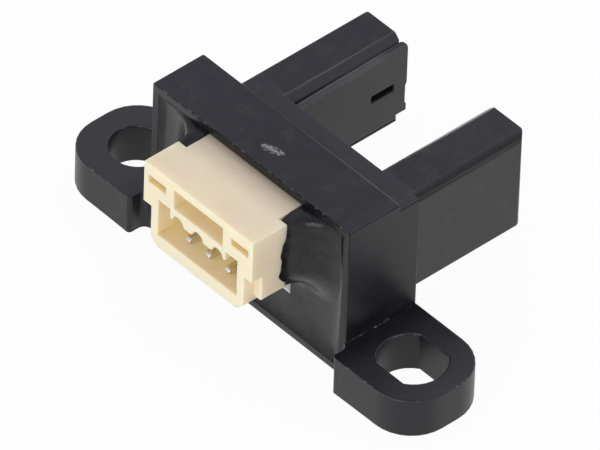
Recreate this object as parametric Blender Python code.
"""Slotted optical switch: a black one-piece case with two mounting ears and two arms. A light beam crosses the slot
between the arms, and a three-pin header is potted into the open front of the case.

Metres, Z up. X runs along the case from one ear to the other, and Y from the header towards the tips of the arms.
The origin lies on the flat underside, in the middle of the case.
"""

import math

import bmesh
import bpy

MM = 0.001

# Clearances
FIT = 0.04 * MM  # around a piece that sits in a pocket or a hole
SEAT = 0.03 * MM  # between faces that are pressed or glued together

# Case
CASE_LENGTH = 20.0 * MM
CASE_DEPTH = 4.62 * MM
CASE_HEIGHT = 13.17 * MM
CASE_WALL = 0.65 * MM
BRIDGE_DEPTH = 1.78 * MM  # the block behind the case that carries the arms
ARM_TOP_DROP = 0.52 * MM  # bridge and arms lie lower than the case's top

# Arms
ARM_REACH = 10.1 * MM
ARM_HEIGHT = 8.55 * MM
ARM_WALL = 0.6 * MM
EMITTER_ARM_WIDTH = 3.65 * MM
EMITTER_ARM_INSET = 0.6 * MM  # from the case's end to the arm's outer face
DETECTOR_ARM_WIDTH = 3.4 * MM
ARM_CHAMFER = 0.55 * MM  # along the inner top edge
ARM_FOOT_CHAMFER = 0.82 * MM  # along the inner bottom edge
REBATE_DEPTH = 0.1 * MM  # along the outer top edge
REBATE_HEIGHT = 0.85 * MM

# Ears and their holes, a round one on the left and a longer one with two flats on the right
EAR_REACH = 7.95 * MM
EAR_THICKNESS = 3.22 * MM
EAR_LEAD = 1.5 * MM  # how far the ears stand ahead of the case; their backs are level with the bridge
EAR_SHOULDER = 0.34 * MM  # from the case's end to where the ear steps forward
EAR_CORNER = 3.2 * MM
EAR_EDGE = 0.3 * MM  # rounding of the step's outer corner
EAR_FILLET = 0.65 * MM  # between the step and the case's front
HOLE_SETBACK = 3.95 * MM  # from the ear's tip to the hole's middle
HOLE_LENGTH = 4.95 * MM
HOLE_WIDTH = 4.1 * MM

# Beam and the plates that narrow it
BEAM_SETBACK = 1.8 * MM  # from the arms' tips to the middle of the beam
BEAM_DROP = 4.12 * MM  # from the arms' tops
SLIT_LENGTH = 2.0 * MM
SLIT_HEIGHT = 0.58 * MM
WINDOW_SIZE = 1.6 * MM
PLATE_THICKNESS = 0.27 * MM
PLATE_LIFT = 1.4 * MM  # from the arm's underside to the plate's
PLATE_TOP_DROP = 0.47 * MM
PLATE_TOP_FALL = 0.25 * MM  # how much lower the slit plate's top is at the bridge
WINDOW_PLATE_TOP_DROP = 1.0 * MM
PLATE_OVERHANG = 0.48 * MM  # of the slit plate beyond the arm's tip
PLATE_CORNER = 0.8 * MM
PLATE_HEEL_LENGTH = 0.93 * MM  # the raised end of the slit plate's lower edge
PLATE_HEEL_RISE = 0.3 * MM
PLATE_NOTCH_DEPTH = 0.13 * MM  # shallow dip in the slit plate's end
PLATE_NOTCH_LIFT = 1.1 * MM  # from the plate's underside
PLATE_NOTCH_HEIGHT = 1.5 * MM
PORT_LENGTH = 2.4 * MM  # opening in the arm's inner wall
PORT_HEIGHT = 3.3 * MM
SPIGOT_DEPTH = 0.35 * MM  # how far the plates reach into that opening

# Light source and receiver
CHIP_LENGTH = 2.5 * MM
CHIP_HEIGHT = 3.7 * MM
CHIP_THICKNESS = 1.6 * MM
LENS_RADIUS = 0.75 * MM
LENS_HEIGHT = 0.3 * MM
LEAD_THICKNESS = 0.3 * MM
LEAD_WIDTH = 0.4 * MM
LEAD_PITCH = 1.27 * MM
LEAD_SETBACK = 0.5 * MM  # from the chip's middle, away from the slot
LEAD_STICKOUT = 0.45 * MM  # ahead of the circuit board

# Circuit board
BOARD_THICKNESS = 1.0 * MM
BOARD_LEDGE = 0.65 * MM
BOARD_SETBACK = 1.3 * MM  # from the case's front to the board's front
COMPONENT_LENGTH = 1.6 * MM
COMPONENT_WIDTH = 0.8 * MM
COMPONENT_THICKNESS = 0.45 * MM
COMPONENT_PITCH = 2.6 * MM

# Header
HEADER_SHIFT = 0.45 * MM
HEADER_REACH = 5.12 * MM
HEADER_HEIGHT = 6.85 * MM
HEADER_WIDTH = 11.0 * MM
HEADER_LEDGE = 0.8 * MM  # the wide part's step on each side of the nose
HEADER_ROOM = 0.22 * MM  # from the nose to the solder of the nearest leads
HEADER_HOOD_HEIGHT = 3.6 * MM  # wide upper part at the very front
HEADER_HOOD_DEPTH = 0.92 * MM
HEADER_SHOULDER_DEPTH = 3.12 * MM  # wide part in all
HEADER_SHOULDER_LIFT = 1.15 * MM
HEADER_CHAMFER = 0.65 * MM
WEB_DEPTH = 0.54 * MM  # small web behind the right shoulder's lower corner
WEB_HEIGHT = 1.0 * MM
WEB_ROOT = 0.1 * MM
CAVITY_WALL = 0.7 * MM
CAVITY_FLOOR = 1.1 * MM
CAVITY_HEIGHT = 3.15 * MM
CAVITY_DEPTH = 4.0 * MM
SKIRT_HEIGHT = 0.8 * MM  # hanging below the middle of the cavity's roof
SKIRT_MARGIN = 0.25 * MM  # beyond the outer scallops
SCALLOP_RADIUS = 0.55 * MM
LOCK_HEIGHT = 1.65 * MM
LOCK_DEPTH = 2.6 * MM
LOCK_ROOF = 0.68 * MM
POCKET_WIDTH = 1.75 * MM
POCKET_HEIGHT = 0.6 * MM
POCKET_DEPTH = 1.1 * MM
POCKET_EDGE = 0.45 * MM
POCKET_DROP = 1.0 * MM
POCKET_WEB = 0.82 * MM  # between a pocket and the lock window

# Contacts
PIN_SIZE = 0.5 * MM
PIN_PITCH = 2.0 * MM
PIN_COUNT = 3
PIN_ABOVE_FLOOR = 0.3 * MM
PIN_RECESS = 0.95 * MM
PIN_TAIL = 0.8 * MM  # behind the circuit board
PIN_POINT = 0.2 * MM
SOLDER_FOOT = 0.62 * MM
SOLDER_TIP = 0.42 * MM
SOLDER_HEIGHT = 0.5 * MM

# Resin
RESIN_RECESS = 0.3 * MM
RESIN_MENISCUS = 0.22 * MM
RESIN_FOOT = 0.8 * MM  # where the resin beside the header turns into the level face
RESIN_TOP_DROP = 0.15 * MM  # from the header's top to the top of the resin beside it

ARC_STEPS = 8  # to a quarter turn

HALF = CASE_LENGTH / 2
FRONT = -CASE_DEPTH / 2
BACK = FRONT + CASE_DEPTH
BRIDGE_BACK = BACK + BRIDGE_DEPTH
ARM_TOP = CASE_HEIGHT - ARM_TOP_DROP
ARM_UNDERSIDE = ARM_TOP - ARM_HEIGHT
ARM_TIP = BRIDGE_BACK + ARM_REACH
BEAM_Y = ARM_TIP - BEAM_SETBACK
BEAM_HEIGHT = ARM_TOP - BEAM_DROP
PLATE_UNDERSIDE = ARM_UNDERSIDE + PLATE_LIFT
PLATE_NOTCH_LOW = PLATE_UNDERSIDE + PLATE_NOTCH_LIFT
EAR_FRONT = FRONT - EAR_LEAD
EAR_TIP = HALF + EAR_REACH
HOLE_MIDDLE = EAR_TIP - HOLE_SETBACK
BOARD_FRONT = FRONT + BOARD_SETBACK
BOARD_BACK = BOARD_FRONT + BOARD_THICKNESS
LEDGE_Y = BOARD_BACK + SEAT
HEADER_NOSE = HEADER_WIDTH / 2 - HEADER_LEDGE
HEADER_FRONT = FRONT - HEADER_REACH
HEADER_BACK = BOARD_FRONT - SEAT
HEADER_TOP = CASE_HEIGHT - CASE_WALL - SEAT
HEADER_FLOOR = HEADER_TOP - HEADER_HEIGHT
SHOULDER_BACK = HEADER_FRONT + HEADER_SHOULDER_DEPTH
SHOULDER_FLOOR = HEADER_FLOOR + HEADER_SHOULDER_LIFT
CAVITY_BOTTOM = HEADER_FLOOR + CAVITY_FLOOR
PIN_Z = CAVITY_BOTTOM + PIN_ABOVE_FLOOR
PIN_X = [HEADER_SHIFT + (i - (PIN_COUNT - 1) / 2) * PIN_PITCH for i in range(PIN_COUNT)]
CHIP_DEPTH = ARM_WALL + FIT + CHIP_THICKNESS / 2  # from an arm's inner face to the middle of its chip
EMITTER_OUTER = HALF - EMITTER_ARM_INSET
EMITTER_INNER = EMITTER_OUTER - EMITTER_ARM_WIDTH
EMITTER_X = EMITTER_INNER + CHIP_DEPTH
DETECTOR_LEAD_X = HEADER_SHIFT - HEADER_NOSE - HEADER_ROOM - SOLDER_FOOT
DETECTOR_X = DETECTOR_LEAD_X + LEAD_SETBACK
DETECTOR_INNER = DETECTOR_X + CHIP_DEPTH
DETECTOR_OUTER = DETECTOR_INNER - DETECTOR_ARM_WIDTH
EMITTER_LEADS = [(EMITTER_X + LEAD_SETBACK, BEAM_HEIGHT + side * LEAD_PITCH) for side in (-1, 1)]
DETECTOR_LEADS = [(DETECTOR_LEAD_X, BEAM_HEIGHT + side * LEAD_PITCH) for side in (-1, 0, 1)]
COMPONENT_Z = (CASE_WALL + BOARD_LEDGE + PIN_Z - SOLDER_FOOT) / 2
LEAD_HOLE = math.hypot(LEAD_THICKNESS, LEAD_WIDTH) / 2 + FIT
PIN_HOLE = PIN_SIZE / math.sqrt(2) + FIT
REACH = 1.0 * MM  # how far a cutter or a joined block reaches past the face that it works on

MODEL = "slotted_optical_switch"
TOOLS = "cutters"


def clear_scene():
    for obj in list(bpy.data.objects):
        bpy.data.objects.remove(obj, do_unlink=True)
    for name in (MODEL, TOOLS):
        found = bpy.data.collections.get(name)
        if found:
            bpy.data.collections.remove(found)
        bpy.context.scene.collection.children.link(bpy.data.collections.new(name))


def link(obj, collection=MODEL):
    bpy.data.collections[collection].objects.link(obj)
    return obj


def material(name, colour, roughness, metallic=0.0):
    made = bpy.data.materials.new(name)
    made.use_nodes = True
    shader = made.node_tree.nodes["Principled BSDF"]
    shader.inputs["Base Color"].default_value = (*colour, 1.0)
    shader.inputs["Roughness"].default_value = roughness
    shader.inputs["Metallic"].default_value = metallic
    return made


def dress(obj, finish):
    obj.data.materials.clear()
    obj.data.materials.append(finish)
    return obj


def box_mesh(name, low, high):
    mesh = bpy.data.meshes.new(name)
    corners = [(x, y, z) for x in (low[0], high[0]) for y in (low[1], high[1]) for z in (low[2], high[2])]
    faces = [(0, 1, 3, 2), (4, 6, 7, 5), (0, 4, 5, 1), (2, 3, 7, 6), (0, 2, 6, 4), (1, 5, 7, 3)]
    mesh.from_pydata(corners, [], faces)
    return mesh


def block(name, low, high, collection=MODEL):
    """A box between two corners, placed by its centre. A cutter keeps the part's own origin, so that its faces
    fall exactly on the planes they are given.
    """
    centre = [0.0 if collection == TOOLS else (a + b) / 2 for a, b in zip(low, high)]
    ends = [[value - middle for value, middle in zip(corner, centre)] for corner in (low, high)]
    obj = link(bpy.data.objects.new(name, box_mesh(name, *ends)), collection)
    obj.location = centre
    return obj


def round_bar(name, radius, end_radius, low, high, centre, collection=MODEL):
    """A cylinder or cone along Y from low to high, whose axis crosses XZ at centre."""
    mesh = bpy.data.meshes.new(name)
    bm = bmesh.new()
    bmesh.ops.create_cone(
        bm, cap_ends=True, segments=4 * ARC_STEPS, radius1=radius, radius2=end_radius, depth=high - low
    )
    bm.to_mesh(mesh)
    bm.free()
    mesh.shade_smooth()
    mesh.set_sharp_from_angle(angle=math.radians(40))
    obj = link(bpy.data.objects.new(name, mesh), collection)
    obj.location = (centre[0], (low + high) / 2, centre[1])
    obj.rotation_euler = (-math.pi / 2, 0, 0)
    return obj


PLANES = {"XY": "XYZ", "XZ": "XZY", "YZ": "YZX"}  # the outline's two axes, then its thickness


def prism(name, outlines, plane, low, high, collection=MODEL):
    """A flat outline, with holes where there is more than one, given a thickness from low to high. It is placed by
    the middle of its thickness, and a cutter by the part's own origin.
    """
    curve = bpy.data.curves.new(name, "CURVE")
    curve.dimensions = "2D"
    curve.fill_mode = "BOTH"
    curve.extrude = 1.0
    for outline in outlines:
        spline = curve.splines.new("POLY")
        spline.points.add(len(outline) - 1)
        for point, (x, y) in zip(spline.points, outline):
            point.co = (x, y, 0, 1)
        spline.use_cyclic_u = True
    drawn = link(bpy.data.objects.new(name + "_outline", curve), TOOLS)
    bpy.context.view_layer.update()
    mesh = bpy.data.meshes.new_from_object(drawn.evaluated_get(bpy.context.evaluated_depsgraph_get()))
    bpy.data.objects.remove(drawn, do_unlink=True)
    middle = 0.0 if collection == TOOLS else (low + high) / 2
    across, up, through = ("XYZ".index(axis) for axis in PLANES[plane])
    bm = bmesh.new()
    bm.from_mesh(mesh)
    for vert in bm.verts:
        x, y, side = vert.co
        vert.co[across], vert.co[up], vert.co[through] = x, y, (high if side > 0 else low) - middle
    bmesh.ops.remove_doubles(bm, verts=bm.verts, dist=0.001 * MM)
    bmesh.ops.recalc_face_normals(bm, faces=bm.faces)
    bm.to_mesh(mesh)
    bm.free()
    mesh.name = name
    obj = link(bpy.data.objects.new(name, mesh), collection)
    obj.location[through] = middle
    return obj


def arc(centre, radius, start, end):
    """Points from one angle to another, in quarter turns, both ends included."""
    steps = max(2, round(abs(end - start) * ARC_STEPS))
    angles = [math.pi / 2 * (start + (end - start) * i / steps) for i in range(steps + 1)]
    return [(centre[0] + radius * math.cos(a), centre[1] + radius * math.sin(a)) for a in angles]


def work(target, tool, operation):
    """Cuts or joins with a shape that stays hidden among the cutters."""
    tool.hide_render = True
    tool.display_type = "WIRE"
    step = target.modifiers.new(tool.name, "BOOLEAN")
    step.operation = operation
    step.solver = "EXACT"
    step.object = tool
    return target


def cut_block(target, name, low, high):
    return work(target, block(name, low, high, TOOLS), "DIFFERENCE")


def ear_outline():
    """The ear beside the case, seen from above, on the side of positive X."""
    corner = min(EAR_CORNER, (BRIDGE_BACK - EAR_FRONT) / 2 - FIT)
    outer = EAR_TIP - corner
    step = HALF + EAR_SHOULDER
    points = [(HALF - CASE_WALL / 2, FRONT)] + arc((step - EAR_FILLET, FRONT - EAR_FILLET), EAR_FILLET, 1, 0)
    points += arc((step + EAR_EDGE, EAR_FRONT + EAR_EDGE), EAR_EDGE, 2, 3)
    points += arc((outer, EAR_FRONT + corner), corner, -1, 0)
    points += arc((outer, BRIDGE_BACK - corner), corner, 0, 1)
    points.append((HALF - CASE_WALL / 2, BRIDGE_BACK))
    return points


def hole_outline(length):
    """A hole as wide as HOLE_WIDTH: round, or with a flat on each side where it is longer than that."""
    centre = (HOLE_MIDDLE, (EAR_FRONT + BRIDGE_BACK) / 2)
    if length <= HOLE_WIDTH:
        return arc(centre, length / 2, 0, 4)[:-1]
    end = math.asin(HOLE_WIDTH / length) / (math.pi / 2)
    return arc(centre, length / 2, -end, end) + arc(centre, length / 2, 2 - end, 2 + end)


def mirrored(points):
    return [(-x, y) for x, y in reversed(points)]


def arm_section(outer, inner, rebated):
    """An arm's section, with a chamfer along each inner edge and the rebate along the outer top edge."""
    side = 1 if outer > inner else -1
    points = [(inner, ARM_UNDERSIDE + ARM_FOOT_CHAMFER), (inner + side * ARM_FOOT_CHAMFER, ARM_UNDERSIDE)]
    points.append((outer, ARM_UNDERSIDE))
    if rebated:
        ledge = ARM_TOP - REBATE_HEIGHT
        points += [(outer, ledge - REBATE_DEPTH), (outer - side * REBATE_DEPTH, ledge)]
        points.append((outer - side * REBATE_DEPTH, ARM_TOP))
    else:
        points.append((outer, ARM_TOP))
    points += [(inner + side * ARM_CHAMFER, ARM_TOP), (inner, ARM_TOP - ARM_CHAMFER)]
    return points


def make_case(finish):
    body = box_mesh("housing", (-HALF, FRONT, 0), (HALF, BACK, CASE_HEIGHT))
    case = link(bpy.data.objects.new("housing", body))
    inside = BACK - CASE_WALL
    bridge = block("bridge", (DETECTOR_OUTER, inside, 0), (HALF, BRIDGE_BACK, ARM_TOP), TOOLS)
    work(case, bridge, "UNION")
    for name, outer, inner, rebated in (
        ("emitter_arm", EMITTER_OUTER, EMITTER_INNER, True),
        ("detector_arm", DETECTOR_OUTER, DETECTOR_INNER, False),
    ):
        section = arm_section(outer, inner, rebated)
        arm = prism(name, [section], "XZ", BRIDGE_BACK - ARM_WALL, ARM_TIP, TOOLS)
        work(case, arm, "UNION")
    for name, shape, length in (("right_ear", list, HOLE_LENGTH), ("left_ear", mirrored, HOLE_WIDTH)):
        outlines = [shape(ear_outline()), shape(hole_outline(length))]
        work(case, prism(name, outlines, "XY", 0, EAR_THICKNESS, TOOLS), "UNION")
    hollow(case)
    return dress(case, finish)


def hollow(case):
    """The space for board and header, open at the front, and the channels along the arms."""
    edge = HALF - CASE_WALL
    roof = CASE_HEIGHT - CASE_WALL
    cut_block(case, "front_space", (-edge, FRONT - REACH, CASE_WALL), (edge, LEDGE_Y, roof))
    inner = edge - BOARD_LEDGE
    low, high = CASE_WALL + BOARD_LEDGE, roof - BOARD_LEDGE
    cut_block(case, "back_space", (-inner, FRONT, low), (inner, BACK - CASE_WALL, high))
    left = DETECTOR_OUTER + ARM_WALL
    cut_block(case, "bridge_space", (left, FRONT, low), (inner, BRIDGE_BACK - ARM_WALL, high))
    floor, ceiling = ARM_UNDERSIDE + ARM_WALL, ARM_TOP - ARM_CHAMFER - ARM_WALL
    end = ARM_TIP - ARM_WALL
    for name, outer, inner_face, side in (
        ("emitter_channel", EMITTER_OUTER, EMITTER_INNER, 1),
        ("detector_channel", DETECTOR_OUTER, DETECTOR_INNER, -1),
    ):
        sides = sorted((outer - side * ARM_WALL, inner_face + side * ARM_WALL))
        cut_block(case, name, (sides[0], 0, floor), (sides[1], end, ceiling))
        port = sorted((inner_face - side * REACH, inner_face + side * (ARM_WALL + FIT)))
        cut_block(
            case,
            name + "_port",
            (port[0], BEAM_Y - PORT_LENGTH / 2, BEAM_HEIGHT - PORT_HEIGHT / 2),
            (port[1], BEAM_Y + PORT_LENGTH / 2, BEAM_HEIGHT + PORT_HEIGHT / 2),
        )


def spigot(name, face, side):
    """The pad on a plate's back that drops into the port of the arm; side points into the arm."""
    xs = sorted((face - side * PLATE_THICKNESS / 4, face + side * SPIGOT_DEPTH))
    return block(
        name,
        (xs[0], BEAM_Y - PORT_LENGTH / 2 + FIT, BEAM_HEIGHT - PORT_HEIGHT / 2 + FIT),
        (xs[1], BEAM_Y + PORT_LENGTH / 2 - FIT, BEAM_HEIGHT + PORT_HEIGHT / 2 - FIT),
        TOOLS,
    )


def slit_plate_outline():
    """Seen along X: a top that falls towards the bridge, a rounded upper end, a shallow dip in the end face and a
    raised heel below it.
    """
    end = ARM_TIP + PLATE_OVERHANG
    top = ARM_TOP - PLATE_TOP_DROP
    heel = PLATE_UNDERSIDE + PLATE_HEEL_RISE
    dip = end - PLATE_NOTCH_DEPTH
    ramp = 2 * PLATE_NOTCH_DEPTH
    points = [(BRIDGE_BACK + SEAT, PLATE_UNDERSIDE), (end - PLATE_HEEL_LENGTH, PLATE_UNDERSIDE)]
    points += [(end - PLATE_HEEL_LENGTH, heel), (end, heel)]
    points += [(end, PLATE_NOTCH_LOW - ramp), (dip, PLATE_NOTCH_LOW)]
    points += [(dip, PLATE_NOTCH_LOW + PLATE_NOTCH_HEIGHT), (end, PLATE_NOTCH_LOW + PLATE_NOTCH_HEIGHT + ramp)]
    points += arc((end - PLATE_CORNER, top - PLATE_CORNER), PLATE_CORNER, 0, 1)
    points.append((BRIDGE_BACK + SEAT, top - PLATE_TOP_FALL))
    return points


def make_plates(finish):
    back = DETECTOR_INNER + SEAT
    face = back + PLATE_THICKNESS
    plate = prism("slit_plate", [slit_plate_outline()], "YZ", back, face)
    work(plate, spigot("slit_plate_pad", back, -1), "UNION")
    cut_block(
        plate,
        "slit",
        (back - REACH, BEAM_Y - SLIT_LENGTH / 2, BEAM_HEIGHT - SLIT_HEIGHT / 2),
        (face + REACH, BEAM_Y + SLIT_LENGTH / 2, BEAM_HEIGHT + SLIT_HEIGHT / 2),
    )
    dress(plate, finish)

    seat = EMITTER_INNER - SEAT
    window = block(
        "window_plate",
        (seat - PLATE_THICKNESS, BRIDGE_BACK + SEAT, PLATE_UNDERSIDE),
        (seat, ARM_TIP - ARM_WALL / 2, ARM_TOP - WINDOW_PLATE_TOP_DROP),
    )
    work(window, spigot("window_plate_pad", seat, 1), "UNION")
    half = WINDOW_SIZE / 2
    cut_block(
        window,
        "window",
        (seat - PLATE_THICKNESS - REACH, BEAM_Y - half, BEAM_HEIGHT - half),
        (seat + REACH, BEAM_Y + half, BEAM_HEIGHT + half),
    )
    dress(window, finish)


def make_optics(emitter_finish, detector_finish, lead_finish):
    """Both moulded chips with their lenses, and the leads that run back along the arms to the board."""
    back = ARM_TIP - ARM_WALL - FIT
    for name, x, side, finish, places in (
        ("emitter", EMITTER_X, -1, emitter_finish, EMITTER_LEADS),
        ("detector", DETECTOR_X, 1, detector_finish, DETECTOR_LEADS),
    ):
        half = CHIP_THICKNESS / 2
        body = block(
            name + "_body",
            (x - half, back - CHIP_LENGTH, BEAM_HEIGHT - CHIP_HEIGHT / 2),
            (x + half, back, BEAM_HEIGHT + CHIP_HEIGHT / 2),
        )
        lens = prism(
            name + "_lens",
            [arc((BEAM_Y, BEAM_HEIGHT), LENS_RADIUS, 0, 4)[:-1]],
            "YZ",
            *sorted((x, x + side * (half + LENS_HEIGHT))),
            TOOLS,
        )
        dress(work(body, lens, "UNION"), finish)
        for number, (lead_x, z) in enumerate(places, 1):
            lead = block(
                f"{name}_lead_{number}",
                (lead_x - LEAD_THICKNESS / 2, BOARD_FRONT - LEAD_STICKOUT, z - LEAD_WIDTH / 2),
                (lead_x + LEAD_THICKNESS / 2, back - CHIP_LENGTH - SEAT, z + LEAD_WIDTH / 2),
            )
            dress(lead, lead_finish)


def make_board(board_finish, component_finishes):
    edge = HALF - CASE_WALL - FIT
    low, high = CASE_WALL + FIT, CASE_HEIGHT - CASE_WALL - FIT
    board = block("circuit_board", (-edge, BOARD_FRONT, low), (edge, BOARD_BACK, high))
    places = [(LEAD_HOLE, x, z) for x, z in EMITTER_LEADS + DETECTOR_LEADS] + [(PIN_HOLE, x, PIN_Z) for x in PIN_X]
    for number, (radius, x, z) in enumerate(places, 1):
        ends = (BOARD_FRONT - REACH, BOARD_BACK + REACH)
        hole = round_bar(f"board_hole_{number}", radius, radius, *ends, (x, z), TOOLS)
        work(board, hole, "DIFFERENCE")
    dress(board, board_finish)
    for number, (name, finish) in enumerate(component_finishes.items()):
        x = HEADER_SHIFT + (number - (len(component_finishes) - 1) / 2) * COMPONENT_PITCH
        component = block(
            name,
            (x - COMPONENT_LENGTH / 2, BOARD_BACK + SEAT, COMPONENT_Z - COMPONENT_WIDTH / 2),
            (x + COMPONENT_LENGTH / 2, BOARD_BACK + SEAT + COMPONENT_THICKNESS, COMPONENT_Z + COMPONENT_WIDTH / 2),
        )
        dress(component, finish)


def header_steps():
    """What is cut away beside the nose, seen along X: below the hood, below the shoulder and behind both."""
    hood_back = HEADER_FRONT + HEADER_HOOD_DEPTH
    hood_floor = HEADER_TOP - HEADER_HOOD_HEIGHT
    low, top = HEADER_FLOOR - REACH, HEADER_TOP + REACH
    points = [(HEADER_FRONT - REACH, low), (HEADER_FRONT - REACH, hood_floor), (hood_back, hood_floor)]
    points += [(hood_back, SHOULDER_FLOOR), (SHOULDER_BACK, SHOULDER_FLOOR), (SHOULDER_BACK, top)]
    return points + [(HEADER_BACK + REACH, top), (HEADER_BACK + REACH, low)]


def cavity_outline():
    """The mating cavity seen from the front: a skirt with one scallop over each pin hangs from its roof."""
    half = HEADER_NOSE - CAVITY_WALL
    left, right = HEADER_SHIFT - half, HEADER_SHIFT + half
    roof = CAVITY_BOTTOM + CAVITY_HEIGHT
    skirt = roof - SKIRT_HEIGHT
    points = [(left, roof), (left, CAVITY_BOTTOM), (right, CAVITY_BOTTOM), (right, roof)]
    end = SCALLOP_RADIUS + SKIRT_MARGIN
    points += [(PIN_X[-1] + end, roof), (PIN_X[-1] + end, skirt)]
    for x in reversed(PIN_X):
        points += arc((x, skirt), SCALLOP_RADIUS, 0, 2)
    points += [(PIN_X[0] - end, skirt), (PIN_X[0] - end, roof)]
    return points


def make_header(finish):
    wide = HEADER_WIDTH / 2
    low = (HEADER_SHIFT - wide, HEADER_FRONT, HEADER_FLOOR)
    header = block("connector_housing", low, (HEADER_SHIFT + wide, HEADER_BACK, HEADER_TOP))
    for name, side in (("left", -1), ("right", 1)):
        nose, far = HEADER_SHIFT + side * HEADER_NOSE, HEADER_SHIFT + side * (wide + REACH)
        step = prism(f"{name}_step", [header_steps()], "YZ", *sorted((nose, far)), TOOLS)
        work(header, step, "DIFFERENCE")
        corner, beyond = nose - side * HEADER_CHAMFER, nose + side * FIT
        wedge = [(corner - side * REACH, HEADER_FLOOR - REACH), (beyond, HEADER_FLOOR + HEADER_CHAMFER + FIT)]
        wedge.append((beyond, HEADER_FLOOR - REACH))
        cut = prism(f"{name}_chamfer", [wedge], "XZ", HEADER_FRONT - REACH, HEADER_BACK + REACH, TOOLS)
        work(header, cut, "DIFFERENCE")
    top = SHOULDER_FLOOR + SEAT
    web = [(SHOULDER_BACK - WEB_ROOT, top), (SHOULDER_BACK + WEB_DEPTH, top)]
    web.append((SHOULDER_BACK + WEB_DEPTH, top - WEB_HEIGHT))
    ends = (HEADER_SHIFT + HEADER_NOSE - CAVITY_WALL / 2, HEADER_SHIFT + wide - SEAT)
    work(header, prism("header_web", [web], "YZ", *ends, TOOLS), "UNION")
    back = HEADER_FRONT + CAVITY_DEPTH
    cavity = prism("header_cavity", [cavity_outline()], "XZ", HEADER_FRONT - REACH, back, TOOLS)
    work(header, cavity, "DIFFERENCE")
    lock = wide - POCKET_EDGE - POCKET_WIDTH - POCKET_WEB
    lock_top = HEADER_TOP - LOCK_ROOF
    cut_block(
        header,
        "lock_window",
        (HEADER_SHIFT - lock, HEADER_FRONT - REACH, lock_top - LOCK_HEIGHT),
        (HEADER_SHIFT + lock, HEADER_FRONT + LOCK_DEPTH, lock_top),
    )
    pocket_top = HEADER_TOP - POCKET_DROP
    for name, side in (("left_pocket", -1), ("right_pocket", 1)):
        outer = HEADER_SHIFT + side * (wide - POCKET_EDGE)
        xs = sorted((outer, outer - side * POCKET_WIDTH))
        cut_block(
            header,
            name,
            (xs[0], HEADER_FRONT - REACH, pocket_top - POCKET_HEIGHT),
            (xs[1], HEADER_FRONT + POCKET_DEPTH, pocket_top),
        )
    half = PIN_SIZE / 2 + FIT
    for number, x in enumerate(PIN_X, 1):
        low = (x - half, back - REACH, PIN_Z - half)
        cut_block(header, f"pin_way_{number}", low, (x + half, HEADER_BACK + REACH, PIN_Z + half))
    return dress(header, finish)


def make_pins(finish, solder_finish):
    """Square contacts with pointed tips, through the header and the board, soldered behind it."""
    tip = HEADER_FRONT + PIN_RECESS
    tail = BOARD_BACK + PIN_TAIL
    half = PIN_SIZE / 2
    for number, x in enumerate(PIN_X, 1):
        side = [(tip + PIN_POINT, -half), (tail, -half), (tail, half), (tip + PIN_POINT, half)]
        side += [(tip, half - PIN_POINT * 0.8), (tip, PIN_POINT * 0.8 - half)]
        pin = prism(f"contact_pin_{number}", [side], "YZ", x - half, x + half)
        pin.location.z = PIN_Z
        dress(pin, finish)
        make_solder(f"pin_solder_{number}", (x, PIN_Z), half, BOARD_BACK + SEAT, 1, solder_finish)


def make_solder(name, place, half, face, side, finish):
    """A cone of solder on one face of the board, open in the middle for the square pin or lead."""
    end = face + side * SOLDER_HEIGHT
    low, high = sorted((face, end))
    foot, tip = (SOLDER_FOOT, SOLDER_TIP) if side > 0 else (SOLDER_TIP, SOLDER_FOOT)
    cone = round_bar(name, foot, tip, low, high, place)
    way = half + SEAT
    x, z = place
    cut_block(cone, name + "_way", (x - way, low - REACH, z - way), (x + way, high + REACH, z + way))
    return dress(cone, finish)


def make_lead_solder(finish):
    face = BOARD_FRONT - SEAT
    names = [f"emitter_solder_{n}" for n in (1, 2)] + [f"detector_solder_{n}" for n in (1, 2, 3)]
    for name, place in zip(names, EMITTER_LEADS + DETECTOR_LEADS):
        make_solder(name, place, LEAD_WIDTH / 2, face, -1, finish)


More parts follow.
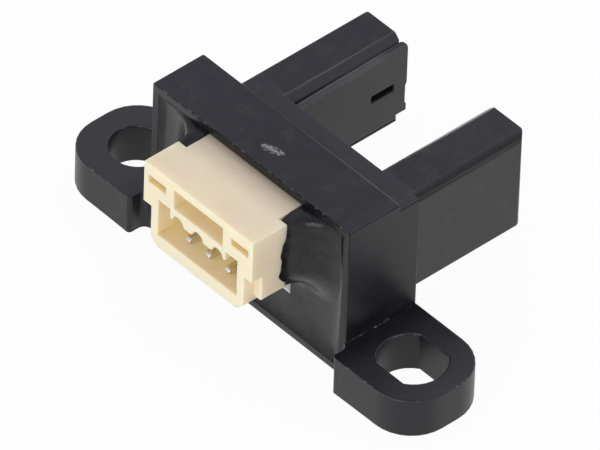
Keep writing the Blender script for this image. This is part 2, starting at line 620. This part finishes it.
def make_resin(finish):
    """The resin that seals the front of the case, higher along its edge. It fills the steps behind the header's
    shoulders.
    """
    edge = HALF - CASE_WALL - FIT
    low, high = CASE_WALL + FIT, CASE_HEIGHT - CASE_WALL - FIT
    level = FRONT + RESIN_RECESS
    resin = block("potting_resin", (-edge, level - RESIN_MENISCUS, low), (edge, BOARD_FRONT - SEAT, high))
    lip = RESIN_MENISCUS
    cut_block(resin, "resin_dish", (-edge + lip, FRONT - REACH, low + lip), (edge - lip, level, high - lip))
    side = HEADER_WIDTH / 2
    root, crest = level + RESIN_MENISCUS, SHOULDER_BACK + FIT
    outline = [(HEADER_NOSE, root), (HEADER_NOSE, crest), (side, crest)]
    outline += arc((side + RESIN_FOOT, level - RESIN_FOOT), RESIN_FOOT, 2, 1) + [(side + RESIN_FOOT, root)]
    for name, shape in (("resin_right_fill", list), ("resin_left_fill", mirrored)):
        placed = [(HEADER_SHIFT + x, y) for x, y in shape(outline)]
        span = (SHOULDER_FLOOR + FIT + SEAT, HEADER_TOP - RESIN_TOP_DROP)
        work(resin, prism(name, [placed], "XY", *span, TOOLS), "UNION")
    nose = HEADER_NOSE + FIT
    cut_block(
        resin,
        "resin_round_header",
        (HEADER_SHIFT - nose, FRONT - REACH, HEADER_FLOOR - FIT),
        (HEADER_SHIFT + nose, BOARD_FRONT + REACH, CASE_HEIGHT),
    )
    radius = SOLDER_FOOT + FIT
    for number, place in enumerate(EMITTER_LEADS + DETECTOR_LEADS, 1):
        ends = (BOARD_FRONT - SOLDER_HEIGHT - 2 * FIT, BOARD_FRONT + REACH)
        well = round_bar(f"resin_well_{number}", radius, radius, *ends, place, TOOLS)
        work(resin, well, "DIFFERENCE")
    return dress(resin, finish)


def main():
    clear_scene()
    black = material("black_plastic", (0.043, 0.043, 0.052), 0.42)
    plate_black = material("plate_black", (0.05, 0.05, 0.058), 0.4)
    ivory = material("ivory_nylon", (0.86, 0.76, 0.6), 0.45)
    tin = material("tin_plate", (0.82, 0.8, 0.77), 0.25, 1.0)
    solder = material("solder", (0.7, 0.7, 0.7), 0.35, 1.0)
    resin = material("black_resin", (0.01, 0.01, 0.012), 0.12)
    make_case(black)
    make_plates(plate_black)
    make_optics(
        material("infrared_epoxy", (0.5, 0.52, 0.62), 0.15), material("dark_epoxy", (0.05, 0.04, 0.05), 0.2), tin
    )
    components = {
        "led_resistor": material("resistor_black", (0.03, 0.03, 0.03), 0.4),
        "pull_up_resistor": material("resistor_dark", (0.04, 0.04, 0.05), 0.4),
        "bypass_capacitor": material("capacitor_tan", (0.45, 0.3, 0.18), 0.5),
    }
    make_board(material("board_green", (0.03, 0.16, 0.07), 0.4), components)
    make_header(ivory)
    make_pins(tin, solder)
    make_lead_solder(solder)
    make_resin(resin)


main()
